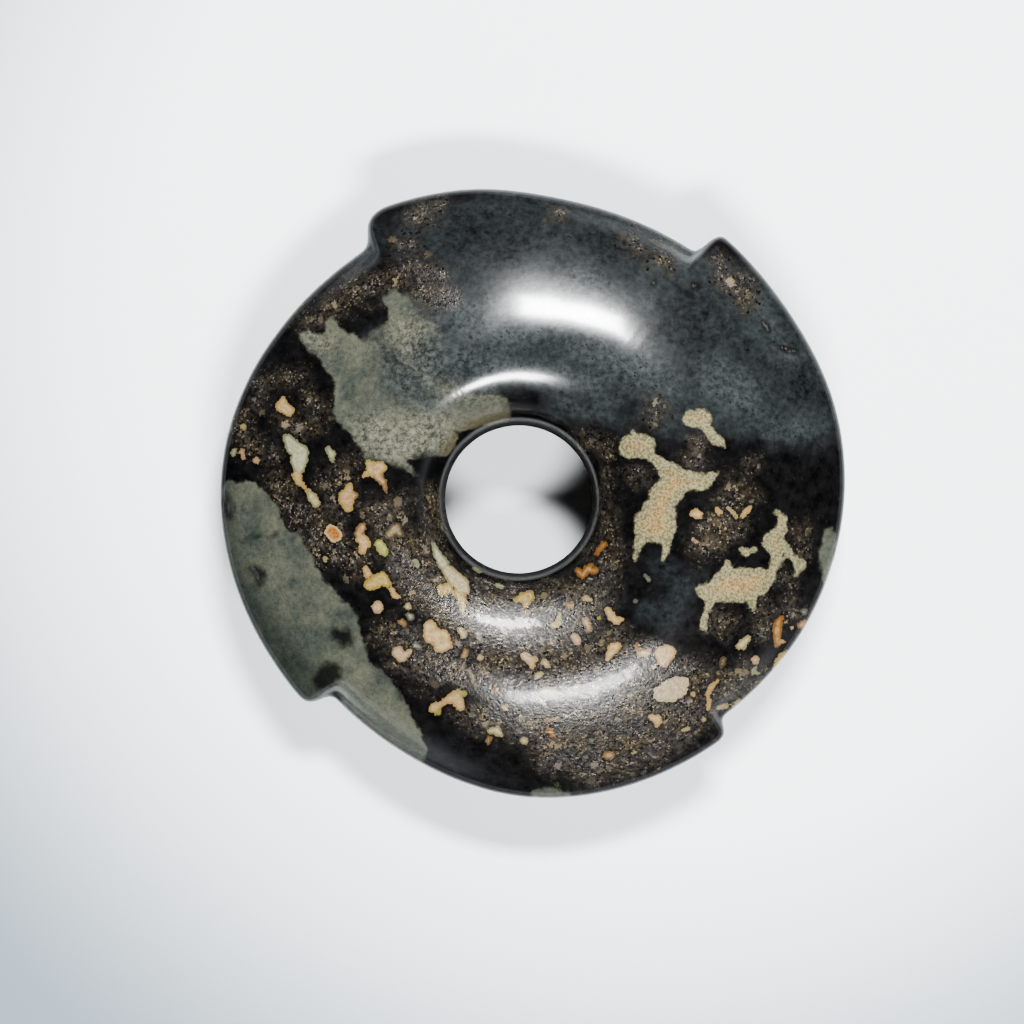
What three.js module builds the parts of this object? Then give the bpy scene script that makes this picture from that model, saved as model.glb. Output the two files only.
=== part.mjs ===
// A jade bi disc with four hooked teeth round its edge, cut from one pebble of dark mottled stone.
// Millimetres, +Z up. The disc lies flat. The origin is on the surface that it rests on, under the middle of
// its outline.
import * as THREE from "three";

// Overall sizes. Radii are measured from the hole's axis, where X and Y start while the disc is being cut.
const DISC_RADIUS = 73; // of the circle that the edge swells out from and is notched back to
const DISC_MIDDLE = { x: 3.8, y: 1.3 }; // of that circle: the hole isn't drilled quite in the middle
const THICKNESS = 34; // from crest to crest
const CREST_RADIUS = 37.8; // of the highest ring of each face
const CREST_MIDDLE = { x: 4, y: -1.8 }; // of that ring: the faces are domed round the disc more than the hole
const REST_LAND_WIDTH = 5; // of the flat ring worn along the underside's crest
const REST_LAND_DEPTH = 0.15; // how much the wear has taken off that crest

// The hole is drilled from both faces, so it is narrowest half way through.
const HOLE_WAIST_RADIUS = 17.4;
const HOLE_MOUTH_RADIUS = 18.6;
const MOUTH_BELOW_CREST = 9.2; // how far each mouth lies below the crest of its face
const MOUTH_SLOPE = 50; // degrees, of the face where it meets the mouth
const MOUTH_ROUND = 0.7; // of the softened corner between the face and the hole's wall
const WALL_STEPS = [0.15, 0.65, 1]; // the wall's rings, as shares of the way from mouth to waist

// The outer edge is blunt and rounded over.
const SHOULDER_INSET = 2.4; // from the edge to where the rounding starts
const SHOULDER_HEIGHT = 3.4; // of that start, above the middle plane
const SHOULDER_SLOPE = 35; // degrees, of the face there

// How full the curves of a face are: each handle's length, as a share of the stretch that its curve spans.
const FACE_HANDLES = { mouth: 0.35, insideCrest: 0.38, outsideCrest: 0.22, shoulder: 0.36 };
const ROUNDING_HANDLES = { shoulder: 0.5, edge: 0.75 };

// The edge swells anticlockwise from the floor of a notch, at the angle `from`, to a tooth, at `tip`.
// `swell` is how far it stands out from the disc's circle, at even steps between the two. Past its tip each
// tooth falls to the floor of the next notch.
const SECTORS = [
  { from: 55.2, tip: 115, swell: [-3.6, -3.2, -1.5, 1.8, 4.5] },
  { from: 122.6, tip: 221.5, swell: [-1.9, -0.8, 0.9, 2.3, 2.3, 1.7, 1.4] },
  { from: 227.7, tip: 309.3, swell: [-4.7, -3.3, -0.7, 0.3, 0.8] },
  { from: 313.9, tip: 411.6, swell: [-3.3, -1.4, 0.1, 1.5, 2.1, 2, 3.5] },
];
const TIP_LEAN = 0.78; // how far a tooth leans over its notch, as a share of the fall
const FLOOR_LEAN = 0.52; // how far a notch's floor reaches back under the tooth, as a share of the fall

// In from the edge the swell fades, and its notches fade soonest, so that the faces stay smooth. Each fade is
// the power that it falls with.
const SWELL_FADE = 2.5;
const NOTCH_FADE = 11;
const NOTCH_SMOOTHING = 20; // degrees either way, over which the swell is averaged to lose the notches

// A short flute runs in from each notch on both faces, and fades out.
const FLUTE_LENGTH = 7;
const FLUTE_DEPTH = 0.9; // at the edge
const FLUTE_HALF_WIDTH = 2;
const FLUTE_PLACE = 0.68; // where it lies in the fall from tooth to floor, as a share of that fall

// How finely the solid is faceted.
const STEPS_PER_SWELL = 18;
const STEPS_PER_FALL = 10;
const STEPS_ACROSS_INNER_FACE = 6;
const STEPS_ACROSS_OUTER_FACE = 8;
const STEPS_ROUND_EDGE = 3;

const { clamp, degToRad, euclideanModulo, lerp, smoothstep } = THREE.MathUtils;
const point = (x, y) => new THREE.Vector2(x, y);
const fullTurn = 360;

// The degrees from one angle to another, the shorter way round.
const turnBetween = (from, to) => euclideanModulo(to - from + fullTurn / 2, fullTurn) - fullTurn / 2;

// A point `reach` away from another, in the direction `slope` degrees above the horizontal.
const along = (from, slope, reach) =>
  point(from.x + reach * Math.cos(degToRad(slope)), from.y + reach * Math.sin(degToRad(slope)));

// Each sector's notch: the tooth's angle, the degrees that the edge falls through, and the swell at its
// floor.
const NOTCHES = SECTORS.map(({ tip }, i) => {
  const next = SECTORS[(i + 1) % SECTORS.length];
  return { tip, fall: euclideanModulo(next.from - tip, fullTurn), floorSwell: next.swell[0] };
});

// The outline, one point for each meridian of the solid: (angle in degrees, swell).
function outline() {
  const points = [];
  SECTORS.forEach(({ from, tip, swell }, i) => {
    const { fall, floorSwell } = NOTCHES[i];
    const knots = swell.map((height, k) => point(lerp(from, tip, k / (swell.length - 1)), height));
    const tooth = knots.at(-1);
    const floor = point(tip + fall, floorSwell);
    const rise = new THREE.SplineCurve(knots);
    const drop = new THREE.CubicBezierCurve(
      tooth,
      point(tooth.x + TIP_LEAN * fall, tooth.y),
      point(floor.x - FLOOR_LEAN * fall, floor.y),
      floor,
    );
    points.push(...rise.getPoints(STEPS_PER_SWELL).slice(0, -1));
    points.push(...drop.getPoints(STEPS_PER_FALL).slice(0, -1));
  });
  return points;
}

// For each meridian, the swell that the edge would have there without its notches.
function smoothedSwells(meridians) {
  return meridians.map(({ x: degree }) => {
    const shares = meridians.map(({ x }, i) => {
      const next = meridians[(i + 1) % meridians.length].x;
      const span = turnBetween(meridians.at(i - 1).x, next);
      return span * Math.exp(-((turnBetween(degree, x) / NOTCH_SMOOTHING) ** 2));
    });
    const total = shares.reduce((sum, share) => sum + share);
    return meridians.reduce((sum, { y }, i) => sum + (y * shares[i]) / total, 0);
  });
}

// The upper half of the cross-section, from the edge over the crest to the hole's waist, as (radius, height
// above the middle plane).
function upperSection() {
  const crest = point(CREST_RADIUS, THICKNESS / 2);
  const mouth = point(HOLE_MOUTH_RADIUS, crest.y - MOUTH_BELOW_CREST);
  const lip = along(mouth, MOUTH_SLOPE, MOUTH_ROUND);
  const wall = WALL_STEPS.map((way) => point(lerp(mouth.x, HOLE_WAIST_RADIUS, way), mouth.y * (1 - way)));
  const shoulder = point(DISC_RADIUS - SHOULDER_INSET, SHOULDER_HEIGHT);
  const edge = point(DISC_RADIUS, 0);
  const innerReach = crest.x - lip.x;
  const outerReach = shoulder.x - crest.x;

  const rounding = new THREE.CubicBezierCurve(
    edge,
    point(edge.x, ROUNDING_HANDLES.edge * SHOULDER_HEIGHT),
    along(shoulder, -SHOULDER_SLOPE, ROUNDING_HANDLES.shoulder * SHOULDER_INSET),
    shoulder,
  );
  const outerFace = new THREE.CubicBezierCurve(
    shoulder,
    along(shoulder, 180 - SHOULDER_SLOPE, FACE_HANDLES.shoulder * outerReach),
    point(crest.x + FACE_HANDLES.outsideCrest * outerReach, crest.y),
    crest,
  );
  const innerFace = new THREE.CubicBezierCurve(
    crest,
    point(crest.x - FACE_HANDLES.insideCrest * innerReach, crest.y),
    along(lip, MOUTH_SLOPE, FACE_HANDLES.mouth * innerReach),
    lip,
  );
  return [
    ...rounding.getPoints(STEPS_ROUND_EDGE).slice(0, -1),
    ...outerFace.getPoints(STEPS_ACROSS_OUTER_FACE).slice(0, -1),
    ...innerFace.getPoints(STEPS_ACROSS_INNER_FACE),
    ...wall,
  ];
}

// The lower half, from just past the waist back to the edge. It mirrors the upper, with its crest worn flat.
function lowerSection(upper) {
  const landHeight = THICKNESS / 2 - REST_LAND_DEPTH;
  const [landInside, landOutside] = [-1, 1].map((side) => CREST_RADIUS + (side * REST_LAND_WIDTH) / 2);
  const mirrored = upper.map(({ x, y }) => point(x, -Math.min(y, landHeight))).reverse();
  const land = [point(landInside, -landHeight), point(landOutside, -landHeight)];
  const apart = REST_LAND_WIDTH / 4; // keeps the land's rings clear of their neighbours
  const inside = mirrored.filter(({ x }) => x < landInside - apart);
  const outside = mirrored.filter(({ x }) => x > landOutside + apart);
  return [...inside.slice(1), ...land, ...outside];
}

// Where a point of the plain section lies on the meridian at `angle`. The edge swells by `swell` there, and
// would swell by `smoothed` without its notches.
function placedRadius(radius, angle, swell, smoothed) {
  const crestShift = CREST_MIDDLE.x * Math.cos(angle) + CREST_MIDDLE.y * Math.sin(angle);
  if (radius <= CREST_RADIUS) {
    return radius + crestShift * smoothstep(radius, HOLE_MOUTH_RADIUS, CREST_RADIUS);
  }
  const middleShift = DISC_MIDDLE.x * Math.cos(angle) + DISC_MIDDLE.y * Math.sin(angle);
  const outward = smoothstep(radius, CREST_RADIUS, DISC_RADIUS);
  const nearEdge = Math.min(1, (radius - CREST_RADIUS) / (DISC_RADIUS - SHOULDER_INSET - CREST_RADIUS));
  const swollen = smoothed * nearEdge ** SWELL_FADE + (swell - smoothed) * nearEdge ** NOTCH_FADE;
  return radius + lerp(crestShift, middleShift, outward) + swollen;
}

// How deep the flutes cut a face at a place that lies `inset` in from the edge.
function fluteDepth(degree, radius, inset) {
  const fade = clamp(1 - inset / FLUTE_LENGTH, 0, 1) ** 2;
  const cuts = NOTCHES.map(({ tip, fall }) => {
    const turn = turnBetween(tip + FLUTE_PLACE * fall, degree);
    const aside = (degToRad(turn) * radius) / FLUTE_HALF_WIDTH;
    return FLUTE_DEPTH * fade * Math.exp(-aside * aside);
  });
  return Math.max(...cuts);
}

// The whole disc: a turned ring, each of whose meridians is then moved to its place round the outline.
function discGeometry() {
  const upper = upperSection();
  const section = [...upper, ...lowerSection(upper)];
  const meridians = outline();
  const smoothed = smoothedSwells(meridians);
  const ring = new THREE.LatheGeometry(section, meridians.length);
  const place = ring.getAttribute("position");
  for (let i = 0; i <= meridians.length; i++) {
    const meridian = i % meridians.length;
    const { x: degree, y: swell } = meridians[meridian];
    const angle = degToRad(degree);
    const placed = (radius) => placedRadius(radius, angle, swell, smoothed[meridian]);
    const edge = placed(DISC_RADIUS);
    section.forEach(({ x, y }, j) => {
      const radius = placed(x);
      const depth = fluteDepth(degree, radius, edge - radius) * Math.min(1, Math.abs(y) / SHOULDER_HEIGHT);
      const height = y - Math.sign(y) * depth;
      place.setXYZ(i * section.length + j, radius * Math.cos(angle), radius * Math.sin(angle), height);
    });
  }
  ring.computeVertexNormals();
  ring.computeBoundingBox();
  const middle = ring.boundingBox.getCenter(new THREE.Vector3());
  return ring.translate(-middle.x, -middle.y, -ring.boundingBox.min.z);
}

const stone = new THREE.MeshStandardMaterial({ color: 0x343a3b, roughness: 0.3, metalness: 0 });
const disc = new THREE.Mesh(discGeometry(), stone);
disc.name = "bi_disc";

const group = new THREE.Group();
group.add(disc);

export default group;
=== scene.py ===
import cmath
import math

import bmesh
import bpy
import numpy as np
from mathutils import Euler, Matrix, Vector, noise
from mathutils.bvhtree import BVHTree


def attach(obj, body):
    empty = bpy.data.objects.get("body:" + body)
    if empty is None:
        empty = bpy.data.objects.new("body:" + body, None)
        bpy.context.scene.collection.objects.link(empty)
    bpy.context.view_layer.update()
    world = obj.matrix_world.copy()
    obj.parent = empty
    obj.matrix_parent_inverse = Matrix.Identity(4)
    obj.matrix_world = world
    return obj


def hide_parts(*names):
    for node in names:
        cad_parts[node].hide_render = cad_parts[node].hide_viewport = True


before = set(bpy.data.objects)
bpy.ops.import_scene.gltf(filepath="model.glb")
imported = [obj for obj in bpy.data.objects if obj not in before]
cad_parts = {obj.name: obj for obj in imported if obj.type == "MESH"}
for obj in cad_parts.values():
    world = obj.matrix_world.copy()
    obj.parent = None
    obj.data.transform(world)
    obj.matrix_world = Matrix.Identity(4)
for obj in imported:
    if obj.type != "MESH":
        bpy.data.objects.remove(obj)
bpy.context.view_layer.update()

# The disc of polished stone on a pale floor. Sizes and places are in millimetres, and MM turns them into metres.
MM = 0.001

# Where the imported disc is. Its middle plane runs through its edge.
HOLE_AXIS = (-3.33, -1.46)
EDGE_HEIGHT = 16.85
BORE_RADIUS = 18.4  # within it the stone is drilled, and not polished, and its colour carries a little painted shade
MOUTH_SPAN = 19  # from the hole's axis to where the faces' rings start, just outside its mouths

# The view: straight down, from this far above the edge, on a frame this wide there.
EYE_ABOVE_EDGE = 650
FRAME_WIDTH = 244.4
EYE_FROM_AXIS = (-1.6, -3.0)
SENSOR_WIDTH = 36

# The fine skin: how many rings each part of the cross-section gets, and how many meridians run round it.
MERIDIANS = 600
RINGS = {"top": 98, "rim": 12, "underside": 38, "wall": 11}
SKIN_EDGE_INSET = 1.0  # from the edge to the last ring of a face
RIM_SHARE = 0.85  # how much of the edge's height the rim's rings take up
WALL_SHARE = 0.93  # the same for the hole's wall

# The polish follows the hand: slow waves, and a slight orange peel where the stone is grained.
WAVES = ((16, 0.10), (6, 0.018))  # (length, height)
GRAIN_RELIEF = (0.9, 0.03)
# The lights: name, how far to the right, angle from overhead towards the picture's top, (width, depth), and power.
LIGHT_REACH = 1000
SOFTBOXES = (
    ("upper_softbox", 120, 36, (330, 140), 17.5),
    ("lower_softbox", 135, -37, (420, 150), 15),
)
FLOOR_PAINTED_LIGHT_CENTRE = (25, 45, 0)  # painted light on the floor: it is brightest here and greys away, as painted shade, between these distances
FLOOR_PAINTED_SHADE_SPAN = (115, 230)
ROOM_COLOUR = (0.9, 0.95, 1, 1)
ROOM_OVERHEAD = 0.03  # its brightness overhead, and at the horizon
ROOM_HORIZON = 1.6

# Pits: (x, y) from the hole's axis, then length, width, turn in degrees, and depth.
PITS = (
    (-63.0, -17.8, 3.4, 1.6, 125, 0.7),
    (-61.6, -20.8, 3.0, 2.0, 20, 0.25),
    (-69.6, -2.0, 4.6, 1.2, 100, 0.3),
    (-44.3, -8.1, 3.2, 3.2, 0, 0.06),
)

# The stone dips: below the edge its pattern slides this far aside for each millimetre of depth.
DIP = (1.1, -0.7)
INCLUSION_THINNING = 0.13  # how much of an inclusion's radius is lost for each millimetre of depth

# The minerals, and one painted shade. Each stroke is a row of round dabs, (x, y, radius) with x and y from the hole's
# axis, as they look from straight above. Neighbouring dabs run into each other.
BLUE_JADE = (
    ((-22, 62, 9), (0, 62, 12), (25, 52, 16), (48, 38, 18), (62, 26, 13), (70, 18, 6)),
    ((-18, 48, 9), (0, 46, 14), (20, 40, 14), (40, 30, 14), (55, 24, 10)),
    ((-20, 34, 9), (-8, 33, 7), (10, 31, 6), (20, 28, 6), (33, 26, 6), (45, 22, 7)),
    ((-41, 57, 2.5), (-34, 63, 4)),
    ((-33.5, 38, 3.5), (-31, 33, 5.5), (-27, 28, 6.5), (-22, 24, 6)),
    ((34, -17, 3), (39, -20, 3), (36, -26, 3), (31, -26, 2)),
    ((27, 17, 1.2), (24.5, 18.5, 2.2), (19, 20.5, 2.6), (12, 22, 2.6), (8, 23, 2.6)),
)
PALE_VEILS = (
    ((2, 50, 4), (14, 49, 5), (26, 44, 4)),
    ((-14, 42, 7), (2, 42, 7), (18, 38, 6), (28, 32, 5), (36, 26, 4)),
    ((-22, 36, 8), (-10, 32, 6), (4, 31, 4), (16, 27, 4)),
    ((34, 57, 2), (38, 56, 2)),
    ((58, 44, 2), (64, 37, 3)),
    ((46, 29, 4), (55, 24, 5), (63, 15, 4)),
    ((66, 18, 3), (73, 10, 3)),
    ((-35, 14, 3.5), (-29, 12, 4), (-23, 13, 4), (-17, 15, 3)),
    ((-50, 39, 2), (-46, 36, 2)),
    ((26, 17.5, 1.6), (20, 20.5, 2.4), (12, 22, 2.4)),
)
SAGE_JADE = (
    ((-50.5, 38.5, 1.6), (-47, 36.5, 2.6), (-43, 33.5, 3.6), (-39, 29, 5), (-37.5, 22, 6.5), (-35, 17.5, 5.5)),
    ((-35, 17.5, 5.5), (-31, 15, 5.5), (-25, 14.5, 5), (-19, 14.5, 4.5)),
    ((-45, 42, 1.3), (-43.5, 38, 2.5), (-40, 35, 4), (-34, 32, 6), (-28, 27, 8), (-20, 22, 7), (-12, 21, 4.5)),
    ((-12, 21, 4.5), (-5, 21.5, 3.4)),
    ((-30, 47.5, 2.4), (-27.5, 45, 3.4), (-25, 40, 5), (-25, 34, 7)),
    ((-37, 34, 3.5), (-32.5, 36, 4), (-29, 39, 4)),
    ((-33, 11, 2.2), (-28.5, 9.5, 1.6), (-26.5, 7.5, 0.9), (-24.5, 6, 0.5)),
    ((-36.3, 11.5, 1.2), (-35.5, 9, 1.2)),
    ((-69, 2.5, 2), (-64, 0.8, 3), (-60.6, -3, 3.4)),
    ((-54.5, -11.5, 3.2), (-51.6, -16, 3)),
    ((-70, 2, 1.6), (-70, -8, 3), (-68, -16, 5), (-64, -26, 6), (-58, -35, 7), (-51, -43, 6), (-48, -49, 3)),
    ((-38, -50, 5), (-31, -58, 4), (-26, -62, 2.5)),
    ((-64, 1, 3), (-63, -7, 6.2), (-60.5, -15, 8.5), (-56, -22.5, 9.5), (-51, -28, 9), (-46, -32, 8)),
    ((-46, -32, 8), (-43.2, -37.2, 6.6), (-40, -42, 4.8), (-35, -47.5, 6), (-32, -51, 5.5), (-28.5, -55.5, 4.2)),
    ((-28.5, -55.5, 4.2), (-25, -60, 3.2)),
    ((-46, -25.5, 3.2), (-42, -29, 3.6)),
    ((5, -70.5, 1.6), (11, -71, 1.4)),
    ((74.5, -9, 1.8), (73.5, -14, 1.6), (74, -19.5, 1.0)),
)
# Painted shade, not a mineral: the colour is darkened along the left and lower rim, where the light falls less.
PAINTED_RIM_SHADE = (
    ((-73, 6, 3), (-73, -8, 4), (-70, -21, 5.5), (-64, -33, 7), (-57, -43, 8), (-50, -50, 6)),
    ((-44, -54, 4), (-37, -59, 4.5), (-29, -64, 4.5), (-22, -66, 3)),
)
DARK_SPOTS = (
    ((-43.2, -32.3, 1.5), (-41.5, -33.2, 2.1)),
    ((-46.6, -43.2, 2.7), (-45, -41.6, 2.8)),
    ((-22.5, 8, 3.0), (-20.5, 8, 2.4)),
    ((-29, 7, 1.9),),
    ((-70, 0.3, 0.9), (-69.4, -3.6, 0.9)),
    ((-63.2, -16.4, 1.1), (-62, -18.2, 1.4), (-62.4, -20.8, 0.8)),
    ((-66, -10, 0.1), (-64, -9.1, 0.15), (-60, -9, 0.15), (-57.8, -8.6, 0.1)),
    ((-1, 21.5, 1.8), (1.5, 21.3, 1.8), (4.5, 19.6, 1.4)),
)
KHAKI_STONE = (
    ((26.6, 12.5, 2.7), (29.7, 12.8, 2.7), (31.8, 10, 1.1), (33.6, 8.6, 1.2), (36, 6.6, 2.4), (37.6, 4.3, 3.5)),
    ((27.8, 14.6, 0.8), (27.2, 16.2, 0.4)),
    ((37.6, 4.3, 3.5), (41, 4.3, 2.2), (44, 4.2, 1.9), (46.2, 5.6, 0.9), (47.4, 6.2, 0.4)),
    ((37.6, 4.3, 3.5), (34.4, 0.5, 3.3), (33.6, -3, 3.8), (32.4, -5.6, 4.4)),
    ((31.2, -6.3, 3.9), (33.9, -6.8, 3.7)),
    ((29.6, -9, 1.6), (28.2, -11.5, 0.8), (27.8, -14.4, 0.4)),
    ((35, -9.4, 1.6), (35.2, -11.8, 0.9), (34.4, -14.4, 0.4)),
    ((41.4, 19.4, 2.2), (43.6, 19.3, 2.3), (45.2, 16.6, 1.1), (46.6, 14.6, 1.0), (48.6, 13.4, 1.0)),
    ((53.3, -11.8, 0.6), (54.6, -12.7, 1.0), (56.1, -12.1, 0.6)),
    ((49.8, -15.2, 0.7), (49.6, -17.5, 1.8)),
    ((43.4, -21.8, 1.3), (46, -22.1, 2.5), (50, -20.6, 3.8), (53.8, -20.4, 4.0), (57.1, -19.5, 3.3)),
    ((57.1, -19.5, 3.3), (60.2, -18.4, 1.3), (60.9, -16.2, 1.0), (61.8, -13.8, 1.4), (60.9, -10.2, 2.6)),
    ((55.6, -23.4, 1.4), (56, -26, 0.6)),
    ((46, -23.5, 1.4), (45, -26.4, 0.7), (44.5, -28.6, 0.5), (44.1, -30.3, 0.8)),
    ((61.4, -9.4, 2.2), (62.6, -7, 1.4), (63, -4.8, 0.9), (61.8, -2.9, 0.5)),
    ((62.6, -10.9, 1.7), (64.5, -12.6, 0.9), (66, -14.2, 0.8), (67.2, -15.8, 1.4), (66.3, -18, 0.5)),
)
BROWN_GRAIN = (
    ((-30, -8, 5), (-27, -13, 6), (-22, -19, 7), (-16, -25, 7), (-6, -27, 7), (4, -28, 8), (14, -26, 7)),
    ((14, -26, 7), (19, -19, 4.5), (20.5, -11, 3), (20.5, -3, 2), (20, 6, 1.2)),
    ((-30, -33, 4.5), (-24, -36, 6), (-15, -38, 7), (-4, -39, 9), (8, -42, 11), (19, -46, 11), (29, -49, 9)),
    ((29, -49, 9), (38, -51, 8), (44, -47, 6), (50, -43, 4)),
    ((-12, -51, 3), (-8, -53, 3.5), (2, -53, 5), (10, -58, 7), (17, -63, 5.5), (27, -59, 6), (36, -56, 5)),
    ((22, -35, 5), (28, -38, 4), (36, -42, 4), (45, -42, 4)),
    ((-21, 1, 2), (-20, -4, 3), (-20.5, -9, 3)),
    ((-20, -42, 3), (-30, -40, 2.5)),
    ((-59, 29, 2), (-61, 27, 2.5), (-63, 23, 2)),
    ((-55, 30, 1.5), (-53, 30, 1.5)),
    ((-50, 23, 2.5), (-47, 22, 2)),
    ((-57, 19, 2), (-50, 18, 2.5), (-53, 17, 2)),
    ((-66, 20, 1.5), (-66, 17, 2), (-64, 13, 3), (-60, 11, 2)),
    ((-41, 9, 2.5), (-43, 4, 2.5), (-46, 4, 2)),
    ((-57, 4, 3), (-56, -1, 3), (-52, -4, 3.5), (-47, -4, 3.5), (-48, -10, 5), (-43, -12, 4.5), (-38, -15, 3.5)),
    ((-47, -4, 3.5), (-41, 0, 3)),
    ((-36, -3, 2), (-33, -3, 3), (-30, -2, 2), (-26, -1, 2)),
    ((-45, 46, 3), (-41, 49, 3), (-38, 50, 3.2), (-34, 51.5, 2.5), (-29, 54, 3), (-25, 55, 3), (-20, 54, 2.5)),
    ((-50, 43, 2.5), (-48, 43.5, 2)),
    ((-22, 52, 2.5), (-23, 49, 2.5), (-17, 48, 1.8)),
    ((-28, 60.5, 1.6), (-26, 60.5, 1.2)),
    ((-25, 66.5, 2), (-22, 69, 2), (-19, 70.5, 1.2)),
    ((50, 4, 1.5), (52, 0, 3.5), (51, -4, 4), (47, -8, 4.5), (44, -11, 3)),
    ((56, 8.5, 1),),
    ((67, -7.5, 2), (68, -12, 1.5)),
    ((64, -19, 1.8),),
    ((58, -26, 2), (58, -31, 2.5), (63, -26, 2), (67, -28, 2.5)),
    ((49, -29, 3), (47, -32, 2)),
    ((42, 10, 2.5), (43, 13, 2)),
    ((32.5, 19.5, 1.8), (33, 22, 1.5)),
    ((27, 7, 1.5), (31, 5.5, 1.5)),
    ((17, 14, 3), (20, 12, 2.5)),
    ((55, -41, 3), (50, -45, 4)),
    ((47.5, 57.5, 1.4), (49, 53, 2), (52, 51.5, 2.8), (54.5, 48, 2.2)),
    ((28, 62, 1.8), (29, 60.5, 1.2)),
    ((33, 58, 1.6), (36, 57.5, 1.4)),
    ((9.5, 68.5, 1.2),),
)
GRAIN_GAPS = (
    ((-45, -20, 4), (-41, -24, 3)),
    ((-22, -46, 1.6), (-15, -45, 1.2)),
    ((-33, -42, 2), (-25, -45, 2)),
    ((30, -26, 3), (36, -29, 4), (43, -34, 4), (50, -37, 3)),
)

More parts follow.
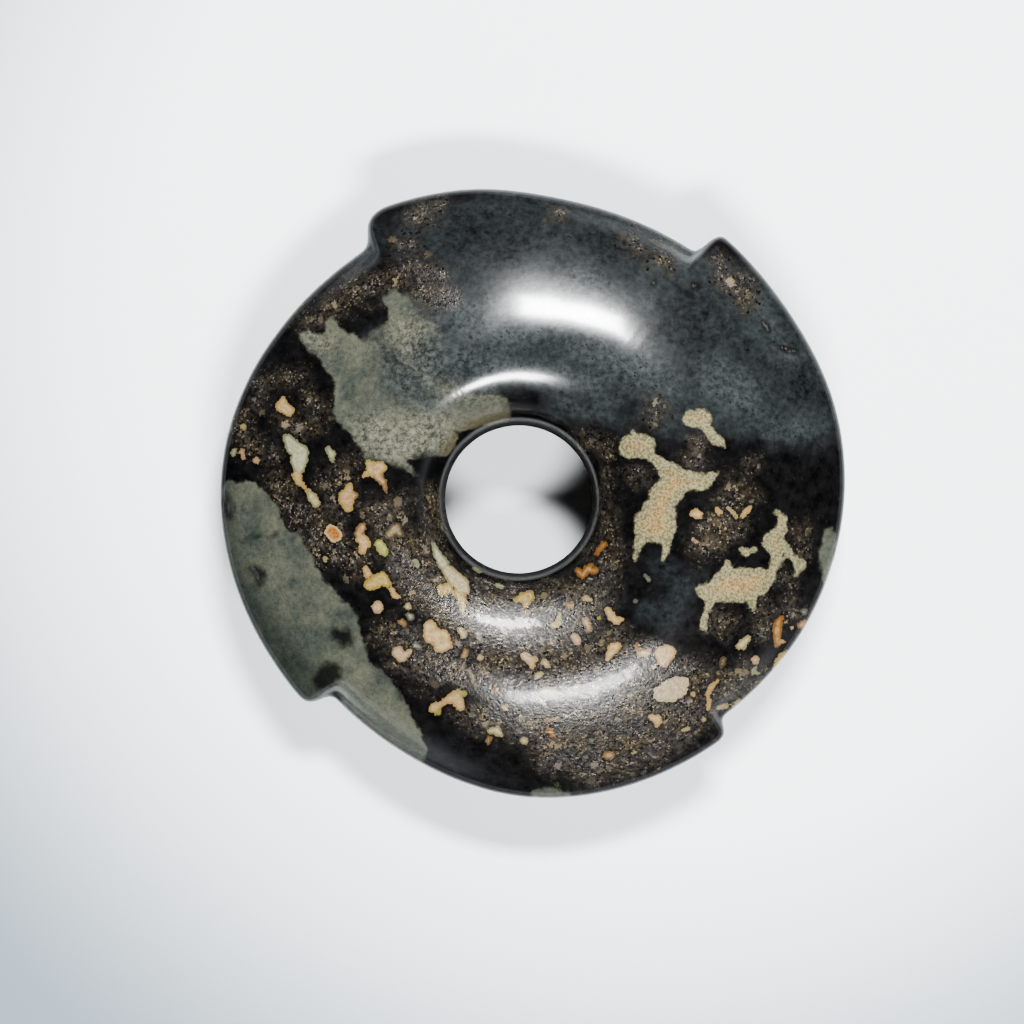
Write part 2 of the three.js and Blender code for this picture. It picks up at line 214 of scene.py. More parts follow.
# The light inclusions: a tint, then a stroke of dabs. Each tint has a rim and a core.
TINTS = {
    "peach": ((120, 100, 68), (138, 120, 88)),
    "pink": ((116, 98, 76), (136, 120, 98)),
    "cream": ((108, 99, 72), (136, 129, 106)),
    "pale": ((94, 96, 74), (129, 130, 110)),
    "ash": ((70, 69, 63), (107, 105, 98)),
    "gold": ((112, 98, 56), (130, 113, 70)),
    "lemon": ((98, 98, 54), (120, 118, 80)),
    "orange": ((98, 70, 40), (125, 96, 58)),
    "salmon": ((92, 74, 52), (124, 103, 78)),
    "dun": ((66, 59, 46), (98, 89, 68)),
    "oval": ((128, 116, 92), (134, 122, 101)),
    "ringed": ((137, 122, 92), (126, 79, 36)),
    "blushed": ((110, 99, 60), (132, 108, 80)),
}
INCLUSIONS = (
    ("peach", ((-56.3, 24, 0.8), (-56.5, 22.3, 1.5), (-55.0, 21.2, 1.4))),
    ("gold", ((-54.5, 21.8, 0.7), (-54.3, 21, 0.6))),
    ("pale", ((-55.2, 14.6, 1.1), (-53.8, 12.4, 1.8), (-52.2, 11.2, 2.0), (-52.5, 9.2, 2.1), (-52.5, 7.6, 1.5))),
    ("peach", ((-53, 5.8, 1.2), (-52.6, 4.4, 0.9), (-51.2, 3, 0.5), (-50.2, 1.8, 0.4))),
    ("cream", ((-50.2, 2, 0.6), (-49.4, 0.6, 1.1), (-48.4, -0.8, 1.1))),
    ("cream", ((-65.8, 17.4, 0.8),)),
    ("pale", ((-68.2, 10.7, 0.6), (-67.9, 11.8, 0.7))),
    ("pink", ((-66.1, 11.4, 0.7), (-65.7, 10, 0.5))),
    ("pink", ((-62.6, 9.4, 0.9),)),
    ("pale", ((-45.5, 12.2, 0.7), (-44.7, 10.8, 1.0), (-44.4, 9, 0.4))),
    ("blushed", ((-40.4, 3, 0.9), (-41, 0.4, 2.1), (-40.7, -1.9, 1.2))),
    ("salmon", ((-39.0, 1.0, 0.8),)),
    ("blushed", ((-35.8, 8.6, 0.9), (-34.6, 7.2, 1.9), (-33.0, 7.6, 1.5))),
    ("salmon", ((-33.6, 5.6, 1.3), (-32.4, 4.2, 0.8), (-31.6, 1.8, 0.4))),
    ("peach", ((-36.2, 6.4, 0.8), (-37, 5.4, 0.4))),
    ("ringed", ((-44.7, -7.7, 1.7), (-43.9, -8.5, 1.7))),
    ("salmon", ((-37.4, -6.6, 1.1), (-38.2, -8.2, 1.1))),
    ("peach", ((-37.6, -9.4, 1.3), (-36.7, -10.5, 1.3), (-37.3, -12.2, 0.9))),
    ("cream", ((-46.2, -14.2, 0.7),)),
    ("lemon", ((-33.3, -10.7, 1.2), (-32.5, -12, 1.3), (-31.9, -13, 0.7))),
    ("peach", ((-36.6, -16.6, 0.8), (-35.9, -17.8, 1.0))),
    ("gold", ((-35.6, -20.4, 1.4), (-34, -19.6, 1.6), (-32.7, -18.9, 1.6), (-31.3, -20.2, 0.9))),
    ("peach", ((-30.2, -21.6, 0.7), (-29.7, -22.9, 0.7), (-28.8, -23.3, 0.6))),
    ("pink", ((-33.7, -25.7, 1.5),)),
    ("cream", ((-26.5, -25.5, 0.9),)),
    ("ash", ((-25.8, -28, 1.0), (-26.4, -27.4, 0.6))),
    ("salmon", ((-28, -29.2, 0.8), (-27.3, -29.8, 0.6))),
    ("peach", ((-21.2, -30.4, 1.6), (-20.8, -32.5, 1.9), (-18.4, -33, 2.0), (-18.8, -34.9, 1.6), (-17, -34.7, 1.2))),
    ("ash", ((-24.7, -34.9, 0.9), (-23.8, -35.3, 0.7))),
    ("pink", ((-28.9, -36.5, 1.5), (-28, -37.7, 1.2), (-26, -36.4, 0.7))),
    ("pale", ((-20.2, -10.8, 0.6), (-19.2, -13.4, 1.1), (-18, -15.3, 1.4))),
    ("cream", ((-17, -16.8, 1.4), (-15.2, -18.8, 1.8), (-13.6, -20.4, 1.9), (-12.6, -21.6, 1.1))),
    ("gold", ((-18.5, -21.3, 1.1), (-17, -21.3, 1.3), (-18.4, -22.6, 0.7))),
    ("gold", ((-14.4, -22, 1.3), (-13.5, -24, 1.1), (-13.5, -26.2, 0.8))),
    ("orange", ((-13.6, -22.8, 0.7), (-12.8, -23.4, 0.5))),
    ("pale", ((-24.7, -14.5, 0.5), (-24.1, -15.8, 0.5))),
    ("dun", ((-30.8, -8.2, 1.2), (-29.2, -6.8, 1.2), (-28.2, -8.4, 0.8))),
    ("cream", ((-13.9, -31.1, 0.8), (-13.1, -32.5, 0.9))),
    ("ash", ((-9.8, -31.9, 0.9), (-9.2, -33.6, 0.8))),
    ("salmon", ((-12.7, -36.3, 0.7), (-13.1, -37.4, 0.8))),
    ("pink", ((-9.2, -37.7, 0.8),)),
    ("pale", ((-10.4, -16.4, 0.5), (-9.1, -17.3, 0.4))),
    ("pale", ((-5.2, -20.4, 0.6), (-3.9, -20.7, 0.6))),
    ("gold", ((-0.9, -24, 0.5), (1, -23.4, 1.2), (2.3, -23.1, 1.4), (1.6, -25, 0.8))),
    ("salmon", ((0.9, -27.2, 0.6), (2.1, -27, 0.7))),
    ("pink", ((1.4, -37.3, 1.0), (2.6, -38.3, 1.0), (3.8, -38.2, 0.8))),
    ("peach", ((3.1, -39.2, 0.9), (3.2, -40, 0.6))),
    ("dun", ((-12, -40.8, 0.6), (-11, -42.3, 0.7), (-10.7, -44, 0.6))),
    ("cream", ((4.4, -42.2, 0.8), (5.3, -41.6, 0.7))),
    ("orange", ((20.3, -10.6, 0.8), (19.3, -11.8, 0.7), (18.6, -13, 0.6))),
    ("orange", ((14.1, -17, 0.8), (15.2, -18.1, 0.8), (16.4, -16.6, 0.9), (17.3, -15.6, 0.6))),
    ("orange", ((16.4, -16.8, 0.8), (18.3, -16.9, 0.8))),
    ("salmon", ((11.2, -25, 0.5), (12.2, -25.4, 0.8), (12.9, -24.8, 0.5))),
    ("lemon", ((9.8, -27.4, 0.5), (9.6, -29, 0.6))),
    ("gold", ((9.6, -29.4, 0.7), (8.2, -30.2, 0.7))),
    ("cream", ((15.8, -23.5, 0.7), (17, -23.9, 0.5))),
    ("lemon", ((19.2, -28.4, 0.5),)),
    ("peach", ((21.3, -26.3, 0.8), (22.2, -28, 1.0), (23.3, -29, 0.9), (24.5, -28.6, 0.7))),
    ("salmon", ((16.1, -29, 1.0), (16.7, -31, 0.8))),
    ("pink", ((13.4, -32.9, 1.0), (14, -33.8, 0.9))),
    ("ash", ((5.5, -33.8, 0.8),)),
    ("dun", ((7.6, -35.9, 0.7), (8, -36.7, 0.5))),
    ("cream", ((6.2, -38.9, 0.9), (6.9, -39.7, 0.7))),
    ("peach", ((23.8, -34.8, 0.8), (22.6, -35.6, 1.3), (21.7, -37, 0.9), (21.2, -38.2, 0.5))),
    ("salmon", ((28.1, -34.9, 0.7), (28.8, -36, 0.6))),
    ("peach", ((29.2, -36.8, 1.0), (30.6, -36.7, 0.8), (31.2, -36.2, 0.5))),
    ("peach", ((34, -36.8, 1.6), (35.6, -36.6, 1.9), (34.6, -38.4, 1.6))),
    ("salmon", ((25.9, -41.2, 0.8), (26.4, -42.1, 0.8))),
    ("oval", ((34, -46.4, 1.9), (36.1, -45.8, 2.7), (38, -44.8, 2.5), (39.4, -43.6, 1.3))),
    ("ash", ((30, -17.9, 0.4), (31, -19.2, 0.7))),
    ("ash", ((27.8, -24.2, 0.6),)),
    ("peach", ((41.6, -3.5, 0.9), (43, -3.6, 1.0), (42.4, -2.7, 0.7))),
    ("pink", ((41.7, -9.6, 0.5), (42.4, -10.3, 0.4))),
    ("peach", ((47.4, -2.4, 0.6), (48, -3.2, 0.7))),
    ("cream", ((50.1, -2, 0.5), (51.2, -3.2, 0.6), (52, -4.3, 0.4))),
    ("peach", ((55.2, -2.1, 0.6), (54.2, -2.8, 0.7), (53.5, -4, 0.6))),
    ("ash", ((55.6, -0.5, 0.6),)),
    ("cream", ((54.9, -33.1, 0.7), (53.8, -34.2, 1.0), (52.7, -35.1, 0.8), (53.8, -35.2, 0.7))),
    ("orange", ((62.7, -28.2, 0.6), (62, -29.6, 0.9), (61.7, -31.5, 1.1), (61.8, -33.3, 0.9), (61.6, -35, 0.6))),
    ("peach", ((62.2, -33.8, 0.6), (63.3, -34.2, 0.5))),
    ("cream", ((65.2, -30.7, 0.6),)),
    ("cream", ((64.1, -28.9, 0.25), (63.6, -29.7, 0.25))),
    ("salmon", ((67.6, -29.9, 1.1), (68.4, -29.4, 0.8))),
    ("ash", ((68.2, -26.8, 0.9),)),
    ("pink", ((56.5, -38.2, 1.0), (56.5, -39.2, 0.6))),
    ("pale", ((56.4, -40.2, 0.4), (56.2, -41.3, 0.6), (57.3, -41.6, 0.4))),
    ("gold", ((63.8, -36.4, 0.5), (62.8, -37.8, 0.9), (61.8, -39.3, 0.8), (61.1, -40.6, 0.4))),
    ("dun", ((48.9, -38.3, 0.8), (48.6, -39.6, 0.7))),
    ("peach", ((41.8, -46.5, 0.7),)),
    ("peach", ((47.4, -43.4, 0.5), (45.9, -44.9, 0.7), (45.1, -46.6, 0.5), (45.5, -48.4, 0.5), (45.3, -49.7, 0.7))),
    ("peach", ((31.6, -52, 0.8), (33.1, -52.6, 1.1), (33.1, -53.9, 0.6))),
    ("cream", ((44.2, -52.5, 0.7),)),
    ("cream", ((39.4, -55.2, 0.5), (40.6, -54.6, 0.5))),
    ("cream", ((47.6, -49.8, 0.5), (49.6, -49.3, 0.6))),
    ("cream", ((51.2, -49.3, 0.5), (52.8, -47.9, 0.5))),
    ("peach", ((-20.3, -49.8, 1.3), (-18.5, -48.8, 0.7), (-16.8, -47.8, 1.0), (-15, -47.4, 1.6), (-14, -49.3, 1.2))),
    ("lemon", ((-13.2, -46.4, 0.8), (-14.4, -45.8, 0.5))),
    ("lemon", ((-19.2, -50.9, 0.8),)),
    ("cream", ((-6.8, -55.3, 0.8), (-5.2, -55.2, 1.0), (-4.3, -56.2, 0.7))),
    ("salmon", ((-6.9, -56.8, 0.6), (-7.4, -57.9, 0.7))),
    ("cream", ((1.3, -57.7, 1.0),)),
    ("ash", ((-11.4, -51.5, 0.6), (-10.6, -51.7, 0.5))),
    ("salmon", ((-5.4, -45.4, 0.8),)),
    ("pink", ((-3.3, -49.8, 0.9),)),
    ("salmon", ((6.5, -52.8, 0.5), (8.5, -52.5, 0.6), (9.6, -52.3, 0.4))),
    ("orange", ((7.1, -55, 0.7), (8.2, -56.3, 0.7))),
    ("dun", ((22, -58.8, 0.6),)),
    ("salmon", ((21, -61.2, 0.9), (21.9, -61.1, 1.0))),
    ("ash", ((17.4, -57.6, 0.7),)),
    ("ash", ((15.6, -61.9, 0.5), (16.2, -61.3, 0.5))),
    ("ash", ((32.2, 51.5, 0.3), (32.4, 51.9, 0.2))),
    ("ash", ((41.8, 51, 0.35), (42.6, 51, 0.3))),
    ("ash", ((40.4, 49.2, 0.3), (41, 49, 0.3))),
    ("ash", ((21.4, 45.8, 0.3),)),
    ("ash", ((46.4, 58, 0.4), (46.9, 57.6, 0.3))),
    ("ash", ((58.3, 42.5, 0.2), (59, 41.3, 0.25), (59.7, 40.3, 0.2))),
    ("ash", ((63, 36.2, 0.25), (64.6, 35.8, 0.3), (66, 35.2, 0.2))),
    ("cream", ((27.1, -60.5, 0.4), (27.7, -60.3, 0.5))),
    ("ash", ((23.4, -52.4, 0.5), (24.2, -52.7, 0.5))),
    ("cream", ((6, -46, 1.2), (8.4, -46.1, 1.4))),
)


def blank_mesh(bm, name):
    """A mesh datablock made from a bmesh, which is freed."""
    mesh = bpy.data.meshes.new(name)
    bm.to_mesh(mesh)
    bm.free()
    return mesh


def smooth_surface(node):
    """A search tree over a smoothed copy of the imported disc."""
    bm = bmesh.new()
    bm.from_mesh(node.data)
    bmesh.ops.remove_doubles(bm, verts=bm.verts, dist=0.001 * MM)
    bmesh.ops.join_triangles(bm, faces=bm.faces, angle_face_threshold=0.8, angle_shape_threshold=math.pi)
    guide = bpy.data.objects.new("guide", blank_mesh(bm, "guide"))
    bpy.context.collection.objects.link(guide)
    rounding = guide.modifiers.new("rounding", "SUBSURF")
    rounding.levels = rounding.render_levels = 2
    tree = BVHTree.FromObject(guide, bpy.context.evaluated_depsgraph_get())
    bpy.data.objects.remove(guide)
    return tree


def rings():
    """The side of the disc that each ring lies on, and how far along that side, from 0 to 1, in order round it."""
    return [(side, (step + 0.5) / count) for side, count in RINGS.items() for step in range(count)]


def cast_skin(surface):
    """A fine mesh over the surface: a grid bent into a ring, each point cast along the way that its side faces."""
    order = rings()
    axis = Vector((*HOLE_AXIS, EDGE_HEIGHT)) * MM
    far = 100 * MM
    up = Vector((0, 0, 1))
    inner = MOUTH_SPAN * MM

    def height_at(place):
        return (surface.ray_cast(place + far * up, -up)[0] - axis).z

    def struck(outward, edge, side, way):
        if side in ("top", "underside"):
            inset = way if side == "top" else 1 - way
            side_up = up if side == "top" else -up
            start = axis + (inner + inset * (edge - inner)) * outward + far * side_up
            return surface.ray_cast(start, -side_up)[0]
        if side == "rim":
            reach = RIM_SHARE * height_at(axis + edge * outward)
            return surface.ray_cast(axis + far * outward + (1 - 2 * way) * reach * up, -outward)[0]
        reach = WALL_SHARE * height_at(axis + inner * outward)
        return surface.ray_cast(axis + (2 * way - 1) * reach * up, outward)[0]

    bm = bmesh.new()
    bmesh.ops.create_grid(bm, x_segments=MERIDIANS, y_segments=len(order), size=1)
    bm.verts.ensure_lookup_table()
    columns = {}
    for vert in bm.verts:
        columns.setdefault(round((vert.co.x + 1) / 2 * MERIDIANS) % MERIDIANS, []).append(vert)
    for number, column in columns.items():
        outward = Vector((1, 0, 0))
        outward.rotate(Euler((0, 0, math.tau * number / MERIDIANS)))
        edge = (surface.ray_cast(axis + far * outward, -outward)[0] - axis).length - SKIN_EDGE_INSET * MM
        for vert in column:
            side, way = order[round((vert.co.y + 1) / 2 * len(order)) % len(order)]
            vert.co = struck(outward, edge, side, way)
    bmesh.ops.remove_doubles(bm, verts=bm.verts, dist=0.0001 * MM)
    bmesh.ops.recalc_face_normals(bm, faces=bm.faces)
    return bm


def dab_depth(places, strokes, blend):
    """How deep each place lies in the nearest stroke, in millimetres, negative outside, and which stroke it is."""
    deepest = np.full(len(places), -1000.0)
    owner = np.zeros(len(places), dtype=int)
    for number, stroke in enumerate(strokes):
        depth = np.full(len(places), -1000.0)
        dabs = np.array(stroke, dtype=float)
        for start, end in zip(dabs, dabs[1:] if len(dabs) > 1 else dabs):
            way = end[:2] - start[:2]
            length = max(float(way @ way), 1e-9)
            share = np.clip((places - start[:2]) @ way / length, 0, 1)
            nearest = start[:2] + share[:, None] * way
            radius = start[2] + share * (end[2] - start[2])
            capsule = radius - np.hypot(*(places - nearest).T)
            overlap = np.clip(0.5 + 0.5 * (capsule - depth) / blend, 0, 1)
            depth = depth + overlap * (capsule - depth) + blend * overlap * (1 - overlap)
        closer = depth > deepest
        owner[closer] = number
        deepest = np.maximum(deepest, depth)
    return deepest, owner


def stone_places(points):
    """Where each point of the skin falls in the stone's pattern, and how far below the edge it lies."""
    from_axis = points[:, :2] - np.array(HOLE_AXIS)
    height = points[:, 2] - EDGE_HEIGHT
    nearer = (EYE_ABOVE_EDGE / (EYE_ABOVE_EDGE - np.maximum(height, 0)))[:, None]
    seen = np.array(EYE_FROM_AXIS) + (from_axis - np.array(EYE_FROM_AXIS)) * nearer
    depth = np.maximum(-height, 0)
    return seen + depth[:, None] * np.array(DIP), depth


def rgba(*levels):
    """A colour for a shader, from red, green and blue of 0 to 255 as a screen shows them."""
    return (*(level / 255 / 12.92 if level < 10.3 else ((level / 255 + 0.055) / 1.055) ** 2.4 for level in levels), 1)


def paint_minerals(mesh):
    """Writes how deep each point lies in each mineral and in the painted shade along one side, for the material to draw
    them from.
    """
    points = np.empty(len(mesh.vertices) * 3)
    mesh.vertices.foreach_get("co", points)
    places, below = stone_places(points.reshape(-1, 3) / MM)
    for name, strokes, gaps, blend in (
        ("blue_jade", BLUE_JADE, (), 3.0),
        ("pale_veils", PALE_VEILS, (), 3.0),
        ("sage_jade", SAGE_JADE, (), 1.0),
        ("painted_rim_shade", PAINTED_RIM_SHADE, (), 3.0),
        ("dark_spots", DARK_SPOTS, (), 0.5),
        ("khaki_stone", KHAKI_STONE, (), 0.5),
        ("brown_grain", BROWN_GRAIN, GRAIN_GAPS, 1.5),
    ):
        depth = dab_depth(places, strokes, blend)[0]
        if gaps:
            depth = np.minimum(depth, -dab_depth(places, gaps, blend)[0])
        mesh.attributes.new(name, "FLOAT", "POINT").data.foreach_set("value", depth)
    depth, owner = dab_depth(places, [stroke for tint, stroke in INCLUSIONS], 0.3)
    mesh.attributes.new("inclusion", "FLOAT", "POINT").data.foreach_set("value", depth - below * INCLUSION_THINNING)
    bore = BORE_RADIUS - np.hypot(*(points.reshape(-1, 3)[:, :2] / MM - np.array(HOLE_AXIS)).T)
    mesh.attributes.new("bore", "FLOAT", "POINT").data.foreach_set("value", bore)
    for layer, name in enumerate(("inclusion_rim", "inclusion_core")):
        tints = np.array([rgba(*TINTS[tint][layer]) for tint, stroke in INCLUSIONS])
        mesh.attributes.new(name, "FLOAT_COLOR", "POINT").data.foreach_set("color", tints[owner].ravel())


def relief(mesh):
    """Moves the skin in and out by the waves of the hand polish, the grain and the pits."""
    grain = np.empty(len(mesh.vertices))
    mesh.attributes["brown_grain"].data.foreach_get("value", grain)
    normals = [vert.normal.copy() for vert in mesh.vertices]
    for vert, normal, depth in zip(mesh.vertices, normals, grain):
        place = vert.co / MM
        push = sum(height * (noise.noise(place / length) - 0.8) for length, height in WAVES)
        push += GRAIN_RELIEF[1] * noise.noise(place / GRAIN_RELIEF[0]) * min(max(depth / 3, 0), 1)
        if place.z > EDGE_HEIGHT:
            for x, y, length, width, turn, deep in PITS:
                away = complex(place.x - HOLE_AXIS[0] - x, place.y - HOLE_AXIS[1] - y)
                if abs(away) < length:
                    away *= cmath.rect(1, -math.radians(turn))
                    push -= deep * math.exp(-1.5 * ((2 * away.real / length) ** 2 + (2 * away.imag / width) ** 2))
        vert.co += normal * push * MM


def make(tree, kind, inputs, **settings):
    """A new node, with its properties set and its inputs fed from sockets or set to values."""
    node = tree.nodes.new("ShaderNode" + kind)
    for name, value in settings.items():
        setattr(node, name, value)
    for key, value in inputs.items():
        if isinstance(value, bpy.types.NodeSocket):
            tree.links.new(value, node.inputs[key])
        else:
            node.inputs[key].default_value = value
    return node


def maths(tree, operation, *values):
    return make(tree, "Math", dict(enumerate(values)), operation=operation).outputs[0]


def eased(tree, value, low, high):
    """0 where the value is under low, 1 where it is over high, and a smooth rise between them."""
    limits = {"Value": value, "From Min": low, "From Max": high}
    return make(tree, "MapRange", limits, interpolation_type="SMOOTHSTEP").outputs["Result"]


def mixed(tree, share, under, over, way="MIX"):
    return make(tree, "Mix", {0: share, 6: under, 7: over}, data_type="RGBA", blend_type=way).outputs[2]


def stored(tree, name, output="Fac"):
    return make(tree, "Attribute", {}, attribute_name=name).outputs[output]


def sockets(tree, way, names):
    for name, (kind, value) in names.items():
        socket = tree.interface.new_socket(name, in_out=way, socket_type="NodeSocket" + kind)
        if value is not None:
            socket.default_value = value


def group_of(name, inputs, outputs):
    """An empty node group with the named sockets, its input sockets, and its output node."""
    tree = bpy.data.node_groups.new(name, "ShaderNodeTree")
    sockets(tree, "INPUT", inputs)
    sockets(tree, "OUTPUT", outputs)
    return tree, tree.nodes.new("NodeGroupInput").outputs, tree.nodes.new("NodeGroupOutput")


def ragged_edge():
    """A mineral's mask, from how deep a place lies in it: ragged at the given scale, and soft over its edge."""
    inputs = {
        "Place": ("Vector", None), "Depth": ("Float", 0), "Raggedness": ("Float", 1), "Scale": ("Float", 1),
        "Softness": ("Float", 0.3),
    }
    tree, given, result = group_of("ragged edge", inputs, {"Mask": ("Float", None)})
    bites = make(tree, "TexNoise", {"Vector": given["Place"], "Scale": given["Scale"], "Detail": 3, "Roughness": 0.6})
    offset = maths(tree, "MULTIPLY", maths(tree, "SUBTRACT", bites.outputs["Fac"], 0.5), given["Raggedness"])
    depth = maths(tree, "MULTIPLY_ADD", offset, 2, given["Depth"])
    low = maths(tree, "MULTIPLY", given["Softness"], -1)
    tree.links.new(eased(tree, depth, low, given["Softness"]), result.inputs["Mask"])
    return tree


def clouds():
    """Two colours, clouded into each other. A higher contrast makes the clouds' edges crisper."""
    inputs = {
        "Place": ("Vector", None), "Scale": ("Float", 1), "Contrast": ("Float", 1),
        "Dark": ("Color", (0, 0, 0, 1)), "Light": ("Color", (1, 1, 1, 1)),
    }
    tree, given, result = group_of("clouds", inputs, {"Colour": ("Color", None)})
    drift = make(tree, "TexNoise", {"Vector": given["Place"], "Scale": given["Scale"], "Detail": 3, "Roughness": 0.68})
    spread = maths(tree, "MULTIPLY", maths(tree, "SUBTRACT", drift.outputs["Fac"], 0.5), given["Contrast"])
    share = maths(tree, "ADD", spread, 0.5)
    share = make(tree, "Clamp", {"Value": share}).outputs[0]
    tree.links.new(mixed(tree, share, given["Dark"], given["Light"]), result.inputs["Colour"])
    return tree


def grains():
    """Crystal grains of the given size. Density is the share of them that are there, and Tone is each one's own."""
    inputs = {"Place": ("Vector", None), "Bend": ("Vector", None), "Size": ("Float", 1), "Density": ("Float", 0.5)}
    tree, given, result = group_of("grains", inputs, {"Mask": ("Float", None), "Tone": ("Float", None)})
    scale = maths(tree, "DIVIDE", 1, given["Size"])
    aside = make(tree, "VectorMath", {0: given["Bend"], "Scale": given["Size"]}, operation="SCALE").outputs[0]
    place = make(tree, "VectorMath", {0: given["Place"], 1: aside}, operation="ADD").outputs[0]
    cells = make(tree, "TexVoronoi", {"Vector": place, "Scale": scale})
    own = make(tree, "SeparateColor", {"Color": cells.outputs["Color"]})
    there = maths(tree, "LESS_THAN", own.outputs["Red"], given["Density"])
    reach = maths(tree, "MULTIPLY_ADD", own.outputs["Blue"], 0.35, 0.42)
    inside = maths(tree, "SUBTRACT", reach, cells.outputs["Distance"])
    tree.links.new(maths(tree, "MULTIPLY", there, eased(tree, inside, -0.12, 0.12)), result.inputs["Mask"])
    tree.links.new(own.outputs["Green"], result.inputs["Tone"])
    return tree


def veins():
    """Thin winding lines."""
    inputs = {"Place": ("Vector", None), "Scale": ("Float", 1), "Width": ("Float", 0.02)}
    tree, given, result = group_of("veins", inputs, {"Mask": ("Float", None)})
    field = make(tree, "TexNoise", {"Vector": given["Place"], "Scale": given["Scale"], "Detail": 3, "Roughness": 0.6})
    away = maths(tree, "ABSOLUTE", maths(tree, "SUBTRACT", field.outputs["Fac"], 0.5))
    share = maths(tree, "SUBTRACT", 1, eased(tree, away, 0, given["Width"]))
    tree.links.new(share, result.inputs["Mask"])
    return tree


def mottled_jade():
    """The polished stone: black and blue-green jade with sage, khaki and grained brown in it, and inclusions, with
    painted shade along one side and in the bore.
    """
    material = bpy.data.materials.new("mottled_jade")
    material.use_nodes = True
    tree = material.node_tree
    shader = tree.nodes["Principled BSDF"]
    edge_group, cloud_group, grain_group, vein_group = ragged_edge(), clouds(), grains(), veins()
    metres = make(tree, "TexCoord", {}).outputs["Object"]
    place = make(tree, "VectorMath", {0: metres, "Scale": 1 / MM}, operation="SCALE").outputs[0]

    def grouped(group, inputs):
        node = tree.nodes.new("ShaderNodeGroup")
        node.node_tree = group
        tree.links.new(place, node.inputs["Place"])
        for key, value in inputs.items():
            if isinstance(value, bpy.types.NodeSocket):
                tree.links.new(value, node.inputs[key])
            else:
                node.inputs[key].default_value = value
        return node.outputs

    def mask(name, raggedness, scale, softness):
        inputs = {"Depth": stored(tree, name), "Raggedness": raggedness, "Scale": scale, "Softness": softness}
        return grouped(edge_group, inputs)["Mask"]

    def clouded(scale, contrast, dark, light):
        return grouped(cloud_group, {"Scale": scale, "Contrast": contrast, "Dark": dark, "Light": light})["Colour"]

    # Black stone.
    colour = clouded(0.35, 3, rgba(13, 13, 13), rgba(30, 29, 30))

    # Blue-green jade, clouded at three scales, and paler where veils run through it.
    blue = mask("blue_jade", 5, 0.12, 3)
    slate = clouded(0.07, 4, rgba(17, 19, 20), rgba(44, 47, 48))
    slate = mixed(tree, 0.5, slate, clouded(0.6, 2.6, rgba(12, 15, 16), rgba(62, 66, 67)))
    veil = clouded(0.12, 4, rgba(26, 29, 30), rgba(56, 60, 61))
    veil = mixed(tree, 0.5, veil, clouded(0.8, 2.6, rgba(24, 28, 29), rgba(88, 93, 93)))
    veils = mask("pale_veils", 8, 0.08, 7)
    slate = mixed(tree, veils, slate, veil)
    colour = mixed(tree, blue, colour, slate)

    # Grained stone: grit of three sizes, dense where it is brown and sparse elsewhere.
    brown = mask("brown_grain", 4, 0.18, 3.5)
    ground = clouded(0.9, 4, rgba(24, 22, 21), rgba(68, 64, 57))
    colour = mixed(tree, maths(tree, "MULTIPLY", brown, 0.9), colour, ground)
    clump = make(tree, "TexNoise", {"Vector": place, "Scale": 0.35, "Detail": 3}).outputs["Fac"]
    clump = maths(tree, "MULTIPLY", eased(tree, clump, 0.3, 0.65), 1.4)
    bend = make(tree, "TexNoise", {"Vector": place, "Scale": 1.6, "Detail": 1}).outputs["Color"]
    gloss = 0
    for size, spare, dense, dull, bright in (
        (1.0, 0.006, 0.32, rgba(34, 32, 30), rgba(92, 87, 76)),
        (0.7, 0.0, 0.3, rgba(16, 16, 16), rgba(40, 38, 35)),
        (0.45, 0.02, 0.32, rgba(36, 35, 33), rgba(120, 115, 103)),
        (1.7, 0.0, 0.07, rgba(56, 52, 44), rgba(119, 112, 98)),
    ):
        density = maths(tree, "MULTIPLY", maths(tree, "MULTIPLY_ADD", brown, dense - spare, spare), clump)
        grit = grouped(grain_group, {"Bend": bend, "Size": size, "Density": density})
        shown = maths(tree, "MULTIPLY", grit["Tone"], brown)
        colour = mixed(tree, grit["Mask"], colour, mixed(tree, shown, dull, bright))
        gloss = maths(tree, "MULTIPLY_ADD", grit["Mask"], shown, gloss)

    drift = clouded(0.15, 5, rgba(255, 246, 228), rgba(236, 234, 246))
    colour = mixed(tree, brown, colour, mixed(tree, 1.0, colour, drift, "MULTIPLY"))

    # Sage jade, which turns blue where it meets the blue-green.
    in_blue = eased(tree, stored(tree, "blue_jade"), -2, 6)
    sage = mask("sage_jade", 1.6, 0.3, maths(tree, "MULTIPLY_ADD", in_blue, 4, 0.5))
    green = clouded(0.1, 3.5, rgba(62, 68, 64), rgba(93, 94, 82))
    green = mixed(tree, 0.25, green, clouded(0.7, 2.8, rgba(34, 36, 33), rgba(96, 97, 87)))
    frost = clouded(0.8, 2.8, rgba(56, 57, 49), rgba(124, 123, 110))
    green = mixed(tree, maths(tree, "MULTIPLY", veils, 0.9), green, frost)
    green = mixed(tree, maths(tree, "MULTIPLY", in_blue, 0.85), green, veil)
    near_hole = maths(tree, "MULTIPLY", eased(tree, stored(tree, "bore"), -6, -1), 0.55)
    green = mixed(tree, near_hole, green, rgba(84, 77, 58))
    vein = maths(tree, "MULTIPLY", grouped(vein_group, {"Scale": 0.55, "Width": 0.04})["Mask"],
                 maths(tree, "MULTIPLY_ADD", veils, 0.4, 0.25))
    green = mixed(tree, vein, green, rgba(22, 24, 22))
    colour = mixed(tree, sage, colour, green)

    # Khaki stone.
    khaki = mask("khaki_stone", 1.1, 0.5, 0.4)
    tan = mixed(tree, eased(tree, stored(tree, "khaki_stone"), 0.6, 3.6), rgba(106, 106, 84), rgba(130, 108, 74))
    tan = mixed(tree, 0.45, tan, clouded(1.8, 7, rgba(58, 51, 37), rgba(146, 136, 112)))
    colour = mixed(tree, khaki, colour, tan)
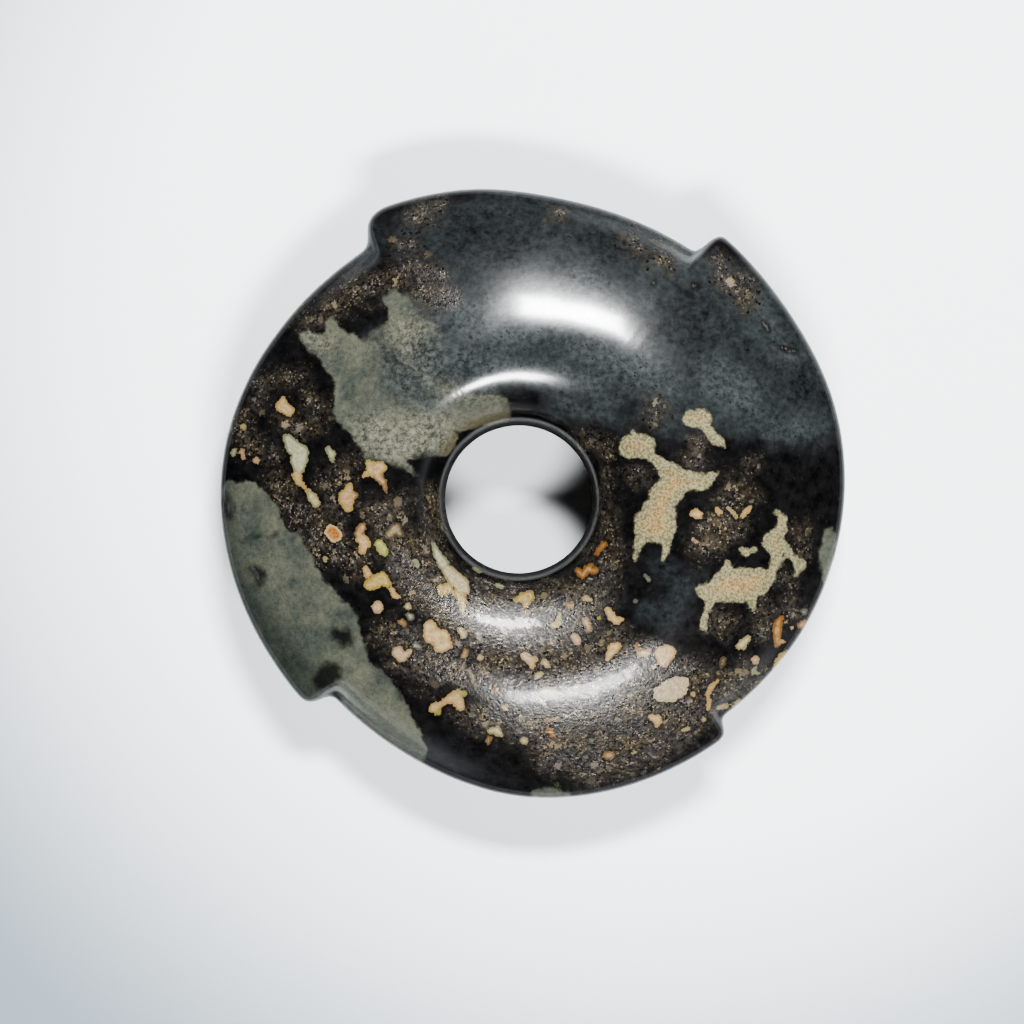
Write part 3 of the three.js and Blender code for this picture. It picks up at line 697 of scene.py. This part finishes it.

    # Darker spots, a crack, and painted shade along one side, where the light falls less.
    painted_shaded = mixed(tree, 1.0, colour, rgba(176, 184, 189), "MULTIPLY")
    colour = mixed(tree, mask("painted_rim_shade", 4, 0.1, 4), colour, painted_shaded)
    spots = maths(tree, "MULTIPLY", mask("dark_spots", 1.6, 0.5, 1.3), 0.85)
    colour = mixed(tree, spots, colour, rgba(15, 16, 16))

    # Inclusions, each with a dark ring round it and a deeper tint at its rim.
    inclusion = stored(tree, "inclusion")
    ring = maths(tree, "MULTIPLY", eased(tree, inclusion, -1.1, -0.1), 0.55)
    colour = mixed(tree, ring, colour, rgba(18, 15, 15))
    core = mixed(tree, 0.25, stored(tree, "inclusion_core", "Color"),
                 clouded(1.2, 6, rgba(98, 76, 46), rgba(156, 147, 126)))
    body = mixed(tree, eased(tree, inclusion, 0.25, 0.8), stored(tree, "inclusion_rim", "Color"), core)
    colour = mixed(tree, mask("inclusion", 0.7, 1.1, 0.12), colour, body)
    bore = eased(tree, stored(tree, "bore"), -0.5, 0.5)
    # Painted shade in the hole: the bore's colour is darkened a little towards black.
    colour = mixed(tree, maths(tree, "MULTIPLY", bore, 0.15), colour, rgba(14, 14, 14))
    tree.links.new(colour, shader.inputs["Base Color"])

    # The polish is duller over the grained stone, where each grain takes it its own way, and the bore has none.
    peel = make(tree, "TexNoise", {"Vector": place, "Scale": 0.7, "Detail": 3})
    rough = maths(tree, "MULTIPLY_ADD", peel.outputs["Fac"], 0.1, 0.155)
    rough = maths(tree, "MULTIPLY_ADD", brown, 0.12, rough)
    rough = maths(tree, "MULTIPLY_ADD", gloss, -0.22, rough)
    tree.links.new(maths(tree, "MULTIPLY_ADD", bore, 0.8, rough), shader.inputs["Roughness"])
    bare = maths(tree, "MAXIMUM", maths(tree, "MULTIPLY", brown, 0.5), bore)
    tree.links.new(maths(tree, "MULTIPLY_ADD", bare, -0.4, 0.4), shader.inputs["Coat Weight"])
    height = make(tree, "TexNoise", {"Vector": place, "Scale": 1.5, "Detail": 3, "Roughness": 0.6}).outputs["Fac"]
    swing = maths(tree, "MULTIPLY_ADD", bore, 2.5, maths(tree, "MULTIPLY_ADD", brown, 0.96, 0.04))
    height = maths(tree, "MULTIPLY", maths(tree, "SUBTRACT", height, 0.5), swing)
    bump = make(tree, "Bump", {"Height": height, "Strength": 1.0, "Distance": 0.13 * MM})
    tree.links.new(bump.outputs["Normal"], shader.inputs["Normal"])
    shader.inputs["Specular IOR Level"].default_value = 0.35
    shader.inputs["Coat Roughness"].default_value = 0.11
    return material


def plain_floor():
    """A pale matt floor, far wider than the view, with painted light and shade: brightest near one spot, greyer further
    away.
    """
    bm = bmesh.new()
    bmesh.ops.create_grid(bm, x_segments=1, y_segments=1, size=2)
    floor = bpy.data.objects.new("floor", blank_mesh(bm, "floor"))
    bpy.context.collection.objects.link(floor)
    material = bpy.data.materials.new("pale_floor")
    material.use_nodes = True
    shader = material.node_tree.nodes["Principled BSDF"]
    tree = material.node_tree
    metres = make(tree, "TexCoord", {}).outputs["Object"]
    # Painted light and shade: the floor's colour greys with distance from a bright spot.
    bright = [metre * MM for metre in FLOOR_PAINTED_LIGHT_CENTRE]
    away = make(tree, "VectorMath", {0: metres, 1: bright}, operation="DISTANCE").outputs["Value"]
    shade = eased(tree, away, *(end * MM for end in FLOOR_PAINTED_SHADE_SPAN))
    tree.links.new(mixed(tree, shade, rgba(222, 226, 228), rgba(122, 133, 142)), shader.inputs["Base Color"])
    shader.inputs["Roughness"].default_value = 0.7
    floor.data.materials.append(material)


def softbox(name, across, zenith, size, power):
    """A soft light, aimed at the disc. `across` is how far it stands aside to the right, and `zenith` its angle."""
    light = bpy.data.lights.new(name, "AREA")
    light.shape = "RECTANGLE"
    light.size, light.size_y = (s * MM for s in size)
    light.energy = power
    place = Vector((across, LIGHT_REACH * math.sin(math.radians(zenith)), LIGHT_REACH * math.cos(math.radians(zenith))))
    lamp = bpy.data.objects.new(name, light)
    lamp.location = place * MM
    lamp.rotation_euler = place.to_track_quat("Z", "Y").to_euler()
    bpy.context.collection.objects.link(lamp)


def studio():
    """Two softboxes, from the top and the bottom of the picture, in a room that is dark overhead."""
    for light in SOFTBOXES:
        softbox(*light)
    world = bpy.data.worlds.new("room")
    world.use_nodes = True
    tree = world.node_tree
    way = make(tree, "SeparateXYZ", {"Vector": make(tree, "TexCoord", {}).outputs["Generated"]}).outputs["Z"]
    strength = maths(tree, "MULTIPLY_ADD", eased(tree, way, 0.0, 0.3), ROOM_OVERHEAD - ROOM_HORIZON, ROOM_HORIZON)
    backdrop = tree.nodes["Background"]
    backdrop.inputs["Color"].default_value = ROOM_COLOUR
    tree.links.new(strength, backdrop.inputs["Strength"])
    bpy.context.scene.world = world


def camera():
    """Looks straight down on the disc."""
    lens = bpy.data.cameras.new("camera")
    lens.sensor_width = SENSOR_WIDTH
    lens.lens = SENSOR_WIDTH * EYE_ABOVE_EDGE / FRAME_WIDTH
    eye = bpy.data.objects.new("camera", lens)
    place = (HOLE_AXIS[0] + EYE_FROM_AXIS[0], HOLE_AXIS[1] + EYE_FROM_AXIS[1], EDGE_HEIGHT + EYE_ABOVE_EDGE)
    eye.location = Vector(place) * MM
    bpy.context.collection.objects.link(eye)
    bpy.context.scene.camera = eye


def disc():
    """The disc's fine skin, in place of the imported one."""
    mesh = blank_mesh(cast_skin(smooth_surface(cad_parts["bi_disc"])), "disc_skin")
    paint_minerals(mesh)
    relief(mesh)
    mesh.shade_smooth()
    mesh.materials.append(mottled_jade())
    piece = bpy.data.objects.new("disc_skin", mesh)
    bpy.context.collection.objects.link(piece)
    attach(piece, "root")
    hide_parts("bi_disc")


disc()
plain_floor()
studio()
camera()
bpy.context.scene.view_settings.view_transform = "AgX"
bpy.context.scene.view_settings.look = "AgX - High Contrast"
